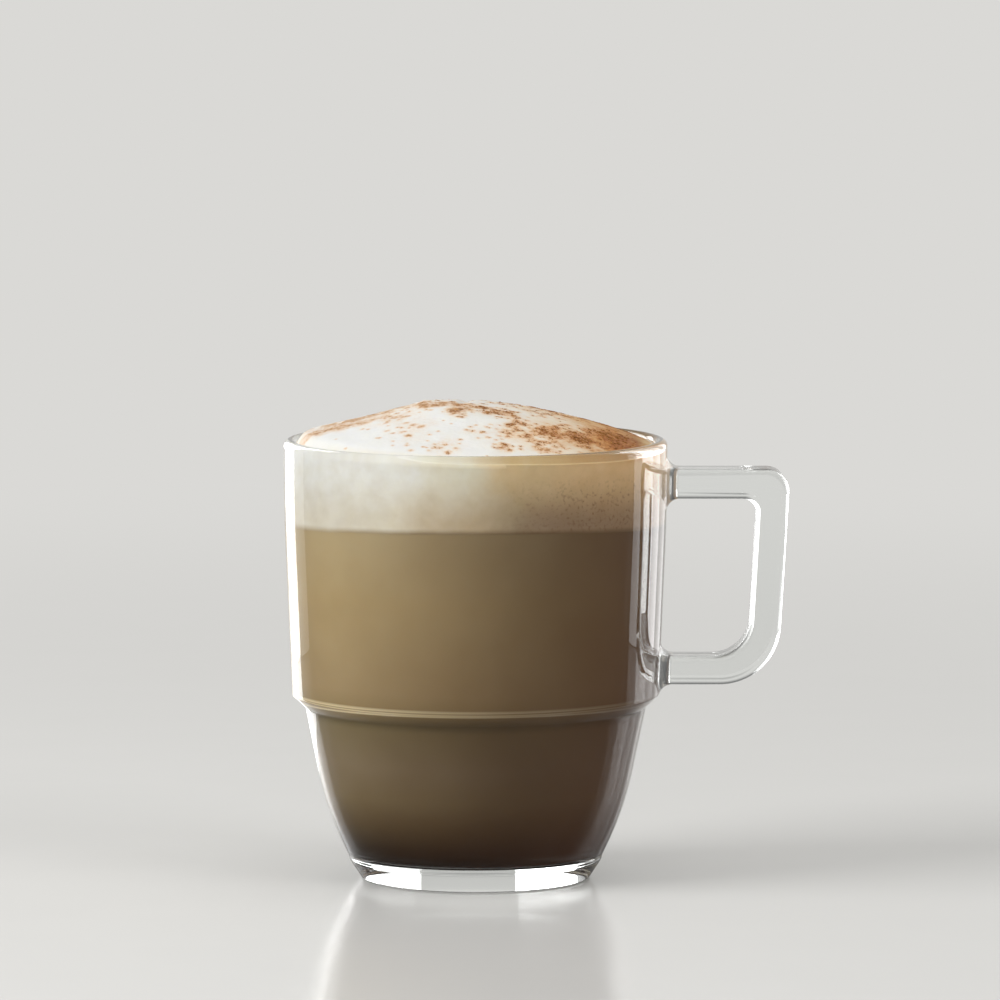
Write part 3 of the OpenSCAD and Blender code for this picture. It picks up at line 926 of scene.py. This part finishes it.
# %% [markdown]
# Steamed milk foam is spooned on last and stands above the rim. Its peak is off the middle,
# it leans up on the left and lies lower by the handle, and its skin has soft lumps and a small
# crease where two spoonfuls meet. A sculpt would do, but a formula gives the same heap every
# time: a height for each direction and each share of the way from the peak to the wall, with
# layers of noise for lumps. Cocoa can then be set on exactly the same skin.

# %% The foam's skin
# Each layer of lumps: their size and their height, mm. The heap rounds down to the glass over
# its last few hundredths, and the lumps die out a little before.
lumps = [[15.0, 0.28], [4.5, 0.10], [1.3, 0.035]]
contact_drop, edge_power, loose_power = 1.9, 26, 12
wall_slice, lump_slice = 3, 4
crease_x, crease_w, crease_depth, crease_from_y, crease_fade = -2.4, 0.9, 0.55, -5.0, 6.0
crease_bend, crease_run = 1.1, 12.0
wall_line_mm, wall_line_h = 9.0, 0.12
lean_ease, back_fill, back_turn, back_reach = 1.0, 1.7, math.radians(34), math.radians(34)


def edge_height(turn):
    """Height of the heap's edge before it rounds down to the glass. It leans towards the
    handle, and one spoonful fills it up behind the handle's side."""
    turned = (turn - back_turn + math.pi) % (2 * math.pi) - math.pi
    lean = (foam_lean - lean_ease * (1 + math.cos(turn)) / 2) * math.cos(turn)
    return foam_edge_z - lean + back_fill * math.exp(-(turned / back_reach) ** 2)


def wall_line(turn):
    """Height at which the foam meets the glass, mm."""
    spot = Vector((math.cos(turn), math.sin(turn), wall_slice)) * (rim_r / wall_line_mm)
    return (edge_height(turn) - contact_drop * ((1 - math.cos(turn)) / 2) ** 2
            + wall_line_h * noise.noise(spot))


def foam_place(share, turn):
    """A place on the foam's skin, mm, from the peak (share 0) to the glass (share 1)."""
    edge_z = edge_height(turn)
    power = heap_power + heap_power_swing * math.cos(turn)
    edge = wall_line(turn)
    z = (edge_z + (foam_edge_z + foam_peak - edge_z) * (1 - share ** power)
         - (edge_z - edge) * share ** edge_power)
    reach = inner_r(min(edge, bowl_h - wall_t / 2)) + wet
    x = reach * share * math.cos(turn) - peak_shift * (1 - share)
    y = reach * share * math.sin(turn)
    loose = 1 - share ** loose_power
    for size, height in lumps:
        z += loose * height * noise.noise(Vector((x, y, lump_slice * size)) / size)
    crease = math.exp(-((x - crease_x - crease_bend * math.sin(y / crease_fade)) / crease_w) ** 2)
    fade = min(1.0, max(0.0, (y - crease_from_y) / crease_fade))
    fade *= math.exp(-(max(0.0, y) / crease_run) ** 2)
    z -= crease_depth * crease * fade * loose
    return [x, y, z]


print("peak of the foam, mm:", round(foam_place(0.0, 0.0)[2], 2))

# %% The foam
skin_rings, foam_sectors = 160, 512
side_shares = [0.93, 0.8, 0.65, 0.5, 0.35, 0.2, 0.12, 0.08, 0.06, 0.045, 0.03, 0.015, 0.0]
turns = np.linspace(0, 2 * math.pi, foam_sectors, endpoint=False)
shares = np.sin(np.linspace(0, quarter, skin_rings + 1))[1:]
foam_points = [foam_place(0.0, 0.0)]
for share in shares:
    foam_points += [foam_place(float(share), float(t)) for t in turns]
skin_count = len(foam_points)
for share in side_shares:
    for t in turns:
        z = line_z(t) + (wall_line(t) - line_z(t)) * share
        foam_points += ring_points(float(inner_r(z)) + wet, z, [t])
foam_points.append([0, 0, coffee_z])
foam = make_piece("foam", foam_points, shell_faces(skin_rings + len(side_shares), foam_sectors))
for polygon in foam.data.polygons:
    ring = (polygon.vertices[1] - 1) // foam_sectors
    polygon.material_index = int(ring >= skin_rings)
foam.data.set_sharp_from_angle(angle=math.radians(60))
print("foam: faces", len(foam.data.polygons), "top, mm:",
      round(max(p[2] for p in foam_points), 2))

# %% [markdown]
# Cocoa is shaken on through a sieve. It falls as fine dust and as small clumps, thick towards
# the handle and thin on the left. A picture painted on the foam would look printed from close
# by, so the clumps are real: dented crumbs laid on the skin in seeded clusters, thickest in a
# few listed dustings. Wet foam drinks colour out of each clump, so every clump also adds
# to a stain value that the foam's mesh keeps at each of its points.

# %% Where cocoa falls
# Each dusting is a patch: middle x and y, reach along x and y, then how thickly clumps and
# fine dust lie there.
dustings = np.array([
    [-2.9, -4.6, 2.6, 3.4, 1.00, 0.90],
    [-3.7, -9.5, 2.0, 3.2, 0.80, 0.45],
    [-8.0, -3.6, 4.4, 2.8, 0.75, 0.80],
    [0.9, -6.6, 3.0, 3.4, 0.85, 0.60],
    [4.6, -7.6, 3.0, 3.6, 0.90, 0.50],
    [7.6, -13.6, 2.3, 3.2, 0.80, 0.30],
    [10.3, -17.6, 2.2, 2.6, 0.85, 0.30],
    [14.5, -15.8, 4.2, 5.0, 0.95, 0.48],
    [19.5, -14.5, 5.0, 6.0, 0.95, 0.58],
    [26.0, -7.0, 6.0, 8.0, 1.00, 1.05],
    [5.5, -26.5, 1.6, 1.8, 1.00, 0.30],
    [12.7, -24.8, 3.6, 1.9, 0.60, 0.30],
    [0.9, -20.3, 3.2, 1.2, 0.35, 0.15],
    [-5.5, -26.5, 3.2, 3.6, 0.26, 0.20],
    [-11.5, -17.0, 4.4, 7.0, 0.24, 0.16],
    [-15.5, -8.5, 5.0, 4.0, 0.30, 0.30],
    [-26.5, -6.0, 8.0, 2.8, 0.35, 1.10],
    [-22.0, 1.0, 10.0, 6.0, 0.30, 1.10],
    [14.0, 8.0, 13.0, 12.0, 0.60, 0.40],
    [-8.0, 10.0, 10.0, 9.0, 0.35, 0.40],
    [26.0, 12.0, 6.0, 8.0, 0.90, 1.30],
    [11.0, -20.0, 9.0, 5.0, 0.42, 0.28],
])
patch_middle, patch_reach = dustings[:, 0:2], dustings[:, 2:4]


# Streaks are long one way, clouds are round, and each reads its own slice of the noise. A few
# clumps stray everywhere.
streak_l, streak_w, streak_slice, streak_part = 4.5, 1.8, 2, 1.1
cloud_mm, cloud_slice, cloud_part = 2.2, 5, 1.2
stray_part = 0.005


def cocoa_amount(x, y):
    """How thickly clumps and fine dust lie at a place, each from 0 to 1."""
    apart = (np.array([x, y]) - patch_middle) / patch_reach
    clump, dust = (dustings[:, 4:6] * np.exp(-(apart ** 2).sum(1))[:, None]).max(0)
    streak = noise.noise(Vector(((x + y) / streak_l, (x - y) / streak_w, streak_slice)))
    cloud = noise.noise(Vector((x / cloud_mm, y / cloud_mm, cloud_slice)))
    return (max(0.0, clump * (1 + streak_part * streak)) + stray_part,
            max(0.0, dust * (1 + cloud_part * cloud)))


print("dustings:", len(dustings))

# %% Clumps of cocoa
tries, seed, cocoa_reach = 5600, 7, 0.975
clump_least, clump_thick, clump_spread, clump_power, thin_part = 0.09, 0.08, 0.30, 1.6, 0.25
dice = np.random.default_rng(seed)
clumps = []
for _ in range(tries):
    share = math.sqrt(dice.random()) * cocoa_reach
    turn, chance = dice.random() * 2 * math.pi, dice.random()
    x, y, _z = foam_place(share, turn)
    thick = min(1.0, cocoa_amount(x, y)[0])
    if chance < thick:
        size = (clump_least + clump_thick * thick + clump_spread
                * dice.random() ** clump_power * (thin_part + (1 - thin_part) * thick))
        clumps.append([share, turn, x, y, size])
clumps = np.array(clumps)
print("cocoa clumps:", len(clumps))

# %% How far cocoa stains the foam
dust_stain, clump_stain, soak_sizes, soak_mm = 0.9, 0.9, 2.5, 4
skin = np.array(foam_points)[:, :2]
stain = np.array([dust_stain * cocoa_amount(x, y)[1] for x, y in skin])
for _, _, x, y, size in clumps:
    near = np.flatnonzero(np.abs(skin[:, 0] - x) < soak_mm)
    near = near[np.abs(skin[near, 1] - y) < soak_mm]
    gap = np.hypot(skin[near, 0] - x, skin[near, 1] - y)
    stain[near] += clump_stain * np.exp(-(gap / (size * soak_sizes)) ** 2)
stain[skin_count:] = 0
stain = 1 - np.exp(-stain)
foam.data.attributes.new("cocoa_stain", "FLOAT", "POINT").data.foreach_set("value", stain)
print("most stain:", round(float(stain.max()), 2))

# %% Where the foam is wet
# Each point keeps a depth value: 0 at the coffee, 1 where the foam leaves the glass, and 2 on
# the drier skin further in. The foam's colours follow it.
dry_from = 0.09
depth_value = [2.0]
depth_value += [1 + min(1.0, (1 - float(share)) / dry_from) for share in shares for _ in turns]
depth_value += [share for share in side_shares for _ in turns] + [0.0]
foam.data.attributes.new("foam_depth", "FLOAT", "POINT").data.foreach_set("value", depth_value)
print("depth values:", len(depth_value), "for", len(foam.data.vertices), "points")


# %% [markdown]
# Foam is milk full of bubbles too fine to see, so light goes in and comes out soft: white and
# dry on top, creamier where it is wet against the glass, and brown where it meets the coffee.
# Towards the handle it took up more coffee and cocoa, and the ramps also paint it darker there,
# as shade away from the key. Against the glass, the upper part of the band is painted lighter
# than its lower part, as painted light that comes in through the top of the foam. The tones
# change from left to right in ramps, one for each level of the foam, and the depth value at the
# mesh's points says which ramp holds where. Vertex paint could do the same, but a ramp is easier
# to read and to change.


# %% Foam's tones
def tones_across(material, x, tones):
    """A ramp of tones from the left to the handle, [x in mm, colour]."""
    first, last = tones[0][0], tones[-1][0]
    across = add_node(material, "MapRange", {
        "Value": x, "From Min": first * MM, "From Max": last * MM})
    return add_node(material, "ValToRGB", {"Fac": across}, tones=[
        [(place - first) / (last - first), tone] for place, tone in tones])


def mix_by(material, value, start, end, below, above):
    """One colour below a value and another above it, with a soft change between."""
    part = add_node(material, "MapRange", {"Value": value, "From Min": start, "From Max": end},
                    interpolation_type="SMOOTHSTEP")
    return add_node(material, "Mix", {
        "Factor_Float": part, "A_Color": below, "B_Color": above}, data_type="RGBA")


# Each ramp darkens towards the handle. Part of that is coffee and cocoa taken up, and part is
# painted shade away from the key. The band's upper tones are painted lighter than its lower ones:
# painted light from the top of the foam.
border_tones = [[-30, "#AF9A75"], [-1, "#937C5D"], [14, "#7A5E40"], [30, "#6B5034"]]
band_low_painted_shade_tones = [[-30, "#D8D0C1"], [-15, "#EAE1CE"], [-1, "#CFB999"], [8, "#B49E80"],
             [15, "#A58A6F"], [28, "#9F8164"]]
band_top_painted_light_tones = [[-30, "#E6E5E1"], [-14, "#F4F1EA"], [-2, "#F1EAD6"], [8, "#EED3A6"],
             [15, "#F1D0A0"], [28, "#EEC694"]]
lip_tones = [[-30, "#E0DFDA"], [-8, "#E9E4D6"], [8, "#CBAD7D"], [20, "#BE9661"],
             [28, "#B58B57"], [33, "#D2B88C"]]
skin_tones = [[-34, "#E3E3E1"], [-8, "#EAEAE7"], [4, "#EEEDE8"], [13, "#EDE2D0"],
              [23, "#D4AE78"], [34, "#9A6A3A"]]
# The depth values from and to which each tone changes into the one above it.
at_border, up_the_wall = (-0.02, 0.09), (0.1, 0.95)
at_lip, onto_the_skin = (0.95, 1.15), (1.25, 1.95)


def foam_tone(material, x, depth):
    """The foam's colour at each level and each place across, with painted light and shade in it.
    """
    low, top, border, lip, dry = (tones_across(material, x, tones) for tones in (
        band_low_painted_shade_tones, band_top_painted_light_tones, border_tones, lip_tones, skin_tones))
    tone = mix_by(material, depth, *up_the_wall, low, top)
    tone = mix_by(material, depth, *at_border, border, tone)
    tone = mix_by(material, depth, *at_lip, tone, lip)
    return mix_by(material, depth, *onto_the_skin, tone, dry)


print("tones from the left to the handle:", [tone for _, tone in band_low_painted_shade_tones])

# %% Steamed milk foam
# Bubbles of 0.1 mm are too fine to show, so pores are drawn 0.8 mm wide and very shallow.
# Cocoa dust and specks that sank along the glass are finer than a pixel too, and are drawn
# 0.45 and 0.65 mm wide. A soft bump and a high roughness keep the dry skin velvety. The tones
# wander to either side, and each is mottled besides.
pore_mm, pore_h, dust_mm, speck_mm = 0.8, 0.1, 0.45, 0.65
wander_patch_mm, wander_mm, mottle_mm = 11, 5, 4
# Sunk specks start at the first of these places across, mm, and are full at the second. The
# same goes for the depth values.
specks_across, specks_up = (4, 22), (0.85, 0.5)
stain_tones = [[0.0, "#FFFFFF"], [0.28, "#FAE4CE"], [0.6, "#E3B58C"], [1.0, "#AA7247"]]


def foam_material(name, bumpy, shine, mottle_tone):
    """Steamed milk foam, with its mottling, cocoa stain, sunk specks and pores."""
    material = new_material(name)
    place = add_node(material, "TexCoord").outputs["Object"]
    axes = add_node(material, "SeparateXYZ", {"Vector": place})
    wander = mottling(material, wander_patch_mm, 4, 0.3, 0.7, -wander_mm * MM, wander_mm * MM)
    x = add_node(material, "Math", {0: axes.outputs["X"], 1: wander}, operation="ADD")
    depth = add_node(material, "Attribute", attribute_name="foam_depth").outputs["Fac"]
    mottled = add_node(material, "Mix", {
        "Factor_Float": mottling(material, mottle_mm, 4, 0.35, 0.7, high=0.32, roughness=0.6),
        "A_Color": foam_tone(material, x, depth), "B_Color": mottle_tone},
        data_type="RGBA", blend_type="MULTIPLY")
    stain = add_node(material, "Attribute", attribute_name="cocoa_stain").outputs["Fac"]
    stain_part = add_node(material, "Math", {
        0: stain, 1: mottling(material, dust_mm, 2, 0.3, 0.7, 0.35, 1.25)},
        operation="MULTIPLY", use_clamp=True)
    stain_tint = add_node(material, "ValToRGB", {"Fac": stain_part}, tones=stain_tones)
    stained = add_node(material, "Mix", {
        "Factor_Float": 1.0, "A_Color": mottled, "B_Color": stain_tint},
        data_type="RGBA", blend_type="MULTIPLY")
    handle_side = add_node(material, "MapRange", {
        "Value": x, "From Min": specks_across[0] * MM, "From Max": specks_across[1] * MM})
    halfway = add_node(material, "MapRange", {
        "Value": depth, "From Min": specks_up[0], "From Max": specks_up[1]})
    sunk_here = add_node(material, "Math", {0: handle_side, 1: halfway}, operation="MULTIPLY")
    sunk = add_node(material, "Math", {
        0: mottling(material, speck_mm, 3, 0.53, 0.70, high=0.6), 1: sunk_here},
        operation="MULTIPLY")
    speckled = add_node(material, "Mix", {
        "Factor_Float": sunk, "A_Color": stained, "B_Color": "#7F5C42"}, data_type="RGBA")
    pores = add_node(material, "TexVoronoi", {"Vector": place, "Scale": per_metre(pore_mm)})
    pore_bump = add_node(material, "Bump", {
        "Height": pores.outputs["Distance"], "Strength": bumpy, "Distance": pore_h * MM})
    shader = add_node(material, "BsdfPrincipled", {
        "Base Color": speckled, "Roughness": 0.6, "IOR": water_ior,
        "Specular IOR Level": shine, "Subsurface Weight": 0.5,
        "Subsurface Radius": (1.3, 1.3, 1.0), "Subsurface Scale": 0.5 * MM,
        "Normal": pore_bump})
    add_node(material, "OutputMaterial", {"Surface": shader})
    return material


print("cocoa stains from none to most:", [tone for _, tone in stain_tones])

# %% Dry foam above and wet foam against the glass
# Wet foam touches the glass as the drink does, so it has no gloss of its own.
airy_foam = foam_material("steamed_milk_foam", 0.5, 0.3, "#F2F1EE")
wet_foam = foam_material("foam_wet_against_glass", 0.15, 0.0, "#DDD2BE")
foam.data.materials.append(airy_foam)
foam.data.materials.append(wet_foam)
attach(foam, "root")
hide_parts("milk_foam")
print("foam materials:", [m.name for m in foam.data.materials])

# %% [markdown]
# Cocoa cakes into crumbs of a tenth to a third of a millimetre, and a clump is a handful of
# them. Copies of one crumb would all catch the light alike. So one ball of twenty faces is
# dented, squashed and turned anew each time. All crumbs are in one mesh, laid along the skin's
# own slope and sunk a little into it.

# %% A cocoa crumb
golden = (1 + 5 ** 0.5) / 2
crumb_ball = np.array([(a, b * golden, 0) for a in (-1, 1) for b in (-1, 1)]
                      + [(0, a, b * golden) for a in (-1, 1) for b in (-1, 1)]
                      + [(b * golden, 0, a) for a in (-1, 1) for b in (-1, 1)], float)
crumb_ball /= np.linalg.norm(crumb_ball[0])
edge_limit = 1.06
crumb_faces = []
for a, b, c in itertools.combinations(range(len(crumb_ball)), 3):
    sides = crumb_ball[[a, b, c]] - crumb_ball[[b, c, a]]
    if np.linalg.norm(sides, axis=1).max() < edge_limit:
        outward = np.cross(sides[0], sides[1]) @ crumb_ball[a] > 0
        crumb_faces.append([a, b, c] if outward else [a, c, b])
crumb_faces = np.array(crumb_faces)
print("faces of a crumb:", len(crumb_faces))


# %% Lay the crumbs on the foam
def skin_frame(share, turn, step=0.004, least_share=0.05):
    """A place on the skin with two directions along the skin and the one out of it."""
    middle = np.array(foam_place(share, turn))
    out = unit(np.array(foam_place(share + step, turn)) - middle)
    side = unit(np.array(foam_place(share, turn + step / max(share, least_share))) - middle)
    up = unit(np.cross(out, side))
    return middle, out, np.cross(up, out), up


crumbs_per_mm, most_crumbs, stray_sizes = 14, 14, 0.75
grain_least, grain_spread, dent, lift = 0.28, 0.35, 0.3, 0.2
crumb_l, crumb_w, crumb_h = 1.3, 0.9, 0.5
cocoa_limit_r = rim_r - wall_t - 0.1
cocoa_points, cocoa_faces = [], []
for share, turn, x, y, size in clumps:
    middle, out, side, up = skin_frame(share, turn)
    count = 1 + int(dice.exponential(size * crumbs_per_mm))
    for _ in range(min(count, most_crumbs)):
        stray = dice.normal(size=2) * size * stray_sizes
        grain = size * (grain_least + grain_spread * dice.random())
        dents = 1 + dent * (dice.random(len(crumb_ball))[:, None] - 0.5)
        local = crumb_ball * dents * grain
        spin_turn = dice.random() * math.pi
        a = out * math.cos(spin_turn) + side * math.sin(spin_turn)
        b = side * math.cos(spin_turn) - out * math.sin(spin_turn)
        crumb = (middle + out * stray[0] + side * stray[1] + up * grain * lift
                 + local[:, 0:1] * a * crumb_l + local[:, 1:2] * b * crumb_w
                 + local[:, 2:3] * up * crumb_h)
        if np.hypot(*crumb[:, :2].T).max() > cocoa_limit_r:
            continue
        cocoa_faces += (crumb_faces + len(cocoa_points)).tolist()
        cocoa_points += crumb.tolist()
cocoa = make_piece("cocoa", cocoa_points, cocoa_faces)
print("cocoa crumbs:", len(cocoa_points) // len(crumb_ball))

# %% [markdown]
# Cocoa powder is pressed, ground and sieved, so it is dry and matt, with almost no gloss. Each
# crumb has its own brown, from a pattern about as wide as a clump. On the left the crumbs sank
# deeper into the foam and milk soaked them, so they are paler there. One brown for all would
# look like dots of paint.

# %% Cocoa's colour
crumb_tone_mm = 0.7
cocoa_powder = new_material("cocoa_powder")
crumb_colour = add_node(cocoa_powder, "Mix", {
    "Factor_Float": mottling(cocoa_powder, crumb_tone_mm, 1, 0.3, 0.7),
    "A_Color": "#7C4C28", "B_Color": "#C08A52"}, data_type="RGBA")
crumb_x = add_node(cocoa_powder, "SeparateXYZ", {
    "Vector": add_node(cocoa_powder, "TexCoord").outputs["Object"]}).outputs["X"]
milky = add_node(cocoa_powder, "MapRange", {
    "Value": crumb_x, "From Min": 5 * MM, "From Max": -14 * MM, "To Max": 0.6})
soaked_colour = add_node(cocoa_powder, "Mix", {
    "Factor_Float": milky, "A_Color": crumb_colour, "B_Color": "#E3C29A"}, data_type="RGBA")
crumb_shader = add_node(cocoa_powder, "BsdfPrincipled", {
    "Base Color": soaked_colour, "Roughness": 0.9, "IOR": 1.45, "Specular IOR Level": 0.2})
add_node(cocoa_powder, "OutputMaterial", {"Surface": crumb_shader})
cocoa.data.materials.append(cocoa_powder)
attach(cocoa, "root")
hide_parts("cocoa_powder")
print("cocoa is", cocoa.data.materials[0].name)
